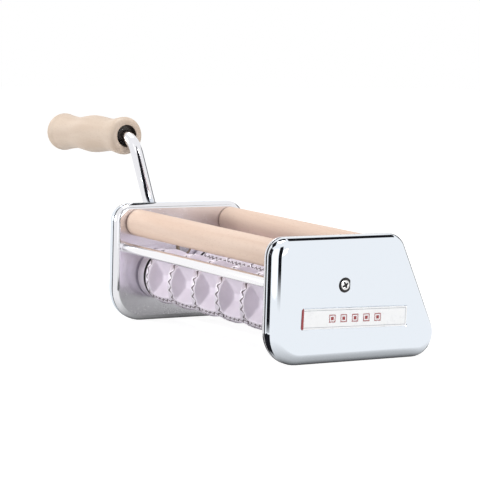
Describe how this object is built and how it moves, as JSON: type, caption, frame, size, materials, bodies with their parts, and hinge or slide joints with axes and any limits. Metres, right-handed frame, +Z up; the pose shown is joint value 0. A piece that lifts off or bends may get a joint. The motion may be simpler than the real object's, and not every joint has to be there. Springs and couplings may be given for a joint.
{
  "type": "ravioli maker",
  "caption": "Hand cranked ravioli maker: pocketed mould rollers and wooden feed rollers between chromed end covers, with a removable crank and wooden grip.",
  "frame": {"origin": "on the table, midway between the two side plates and midway along the straight base of their outline", "axes": "+X along the rollers towards the gear end, away from the crank; +Y from the open front to the slanted rear; +Z up"},
  "size_m": [0.4078, 0.1687, 0.1691],
  "materials": {
    "side_plate_chrome": "drawn steel with bright chrome plating",
    "cover_chrome": "drawn steel with bright chrome plating",
    "rod_chrome": "turned steel rod with chrome plating",
    "crank_chrome": "bent steel rod with chrome plating",
    "screw_steel": "nickel-plated steel",
    "zinc_steel": "zinc-plated steel",
    "shaft_steel": "turned bright steel",
    "gear_steel": "hobbed steel, greased",
    "sleeve_steel": "steel tube",
    "coupling_steel": "folded bright sheet steel",
    "bush_brass": "turned bronze",
    "mould_metal": "cast aluminium alloy, satin anodised",
    "roller_wood": "turned beech, sanded and bare",
    "grip_wood": "turned beech, clear matt lacquer",
    "label_white": "plain white plate"
  },
  "bodies": {
    "frame": {"coupling_plate": "coupling_steel", "coupling_rivet_lower_crank_end": "zinc_steel", "coupling_rivet_lower_gear_end": "zinc_steel", "coupling_rivet_upper_crank_end": "zinc_steel", "coupling_rivet_upper_gear_end": "zinc_steel", "cover_crank_end": "cover_chrome", "cover_gear_end": "cover_chrome", "cover_post_gear_end": "zinc_steel", "cover_post_lower": "zinc_steel", "cover_post_upper": "zinc_steel", "cover_screw_gear_end": "screw_steel", "cover_screw_lower": "screw_steel", "cover_screw_upper": "screw_steel", "label_plate": "label_white", "pinion_bush": "bush_brass", "roller_bush_front_crank_end": "bush_brass", "roller_bush_front_gear_end": "bush_brass", "roller_bush_rear_crank_end": "bush_brass", "roller_bush_rear_gear_end": "bush_brass", "side_plate_crank_end": "side_plate_chrome", "side_plate_gear_end": "side_plate_chrome", "socket_bush": "bush_brass", "tie_rod_front": "rod_chrome", "tie_rod_nut_front_crank_end": "zinc_steel", "tie_rod_nut_front_gear_end": "zinc_steel", "tie_rod_nut_rear_crank_end": "zinc_steel", "tie_rod_nut_rear_gear_end": "zinc_steel", "tie_rod_rear": "rod_chrome", "wood_roller_pin_front_crank_end": "shaft_steel", "wood_roller_pin_front_gear_end": "shaft_steel", "wood_roller_pin_rear_crank_end": "shaft_steel", "wood_roller_pin_rear_gear_end": "shaft_steel"},
    "front_mould": {"drive_gear": "gear_steel", "mould_roller_front": "mould_metal", "roller_shaft_front": "shaft_steel", "shaft_ring_front_crank_end": "shaft_steel", "shaft_ring_front_gear_end": "gear_steel", "timing_gear_front": "gear_steel"},
    "rear_mould": {"mould_roller_rear": "mould_metal", "roller_shaft_rear": "shaft_steel", "shaft_ring_rear_crank_end": "shaft_steel", "shaft_ring_rear_gear_end": "gear_steel", "shaft_spacer_rear": "shaft_steel", "timing_gear_rear": "gear_steel"},
    "pinion": {"pinion_shaft": "shaft_steel", "pinion_gear": "gear_steel"},
    "crank": {"crank_rod": "crank_chrome", "crank_pin": "shaft_steel", "grip_ring": "shaft_steel"},
    "grip": {"grip": "grip_wood", "grip_sleeve": "sleeve_steel"},
    "front_wood": {"wood_roller_front": "roller_wood"},
    "rear_wood": {"wood_roller_rear": "roller_wood"}
  },
  "joints": [
    {"name": "front_mould_spin", "type": "hinge", "parent": "frame", "child": "front_mould", "pos_m": [0, -0.04425, 0.0403], "axis": [1, 0, 0], "continuous": true},
    {"name": "rear_mould_spin", "type": "hinge", "parent": "frame", "child": "rear_mould", "pos_m": [0, 0.00525, 0.0403], "axis": [1, 0, 0], "continuous": true},
    {"name": "pinion_spin", "type": "hinge", "parent": "frame", "child": "pinion", "pos_m": [-0.118, -0.0195, 0.06213], "axis": [1, 0, 0], "continuous": true},
    {"name": "crank_pull", "type": "slide", "parent": "pinion", "child": "crank", "axis": [-1, 0, 0], "range_m": [0, 0.022]},
    {"name": "grip_spin", "type": "hinge", "parent": "crank", "child": "grip", "pos_m": [-0.1485, -0.04993, 0.1536], "axis": [-0.9983, 0.0182, -0.0546], "continuous": true},
    {"name": "front_wood_spin", "type": "hinge", "parent": "frame", "child": "front_wood", "pos_m": [0, -0.0672, 0.0844], "axis": [1, 0, 0], "continuous": true},
    {"name": "rear_wood_spin", "type": "hinge", "parent": "frame", "child": "rear_wood", "pos_m": [0, 0.0258, 0.0844], "axis": [1, 0, 0], "continuous": true}
  ],
  "couplings": [
    {"joint": "rear_mould_spin", "follows": "front_mould_spin", "ratio": -1},
    {"joint": "pinion_spin", "follows": "front_mould_spin", "ratio": -3}
  ]
}
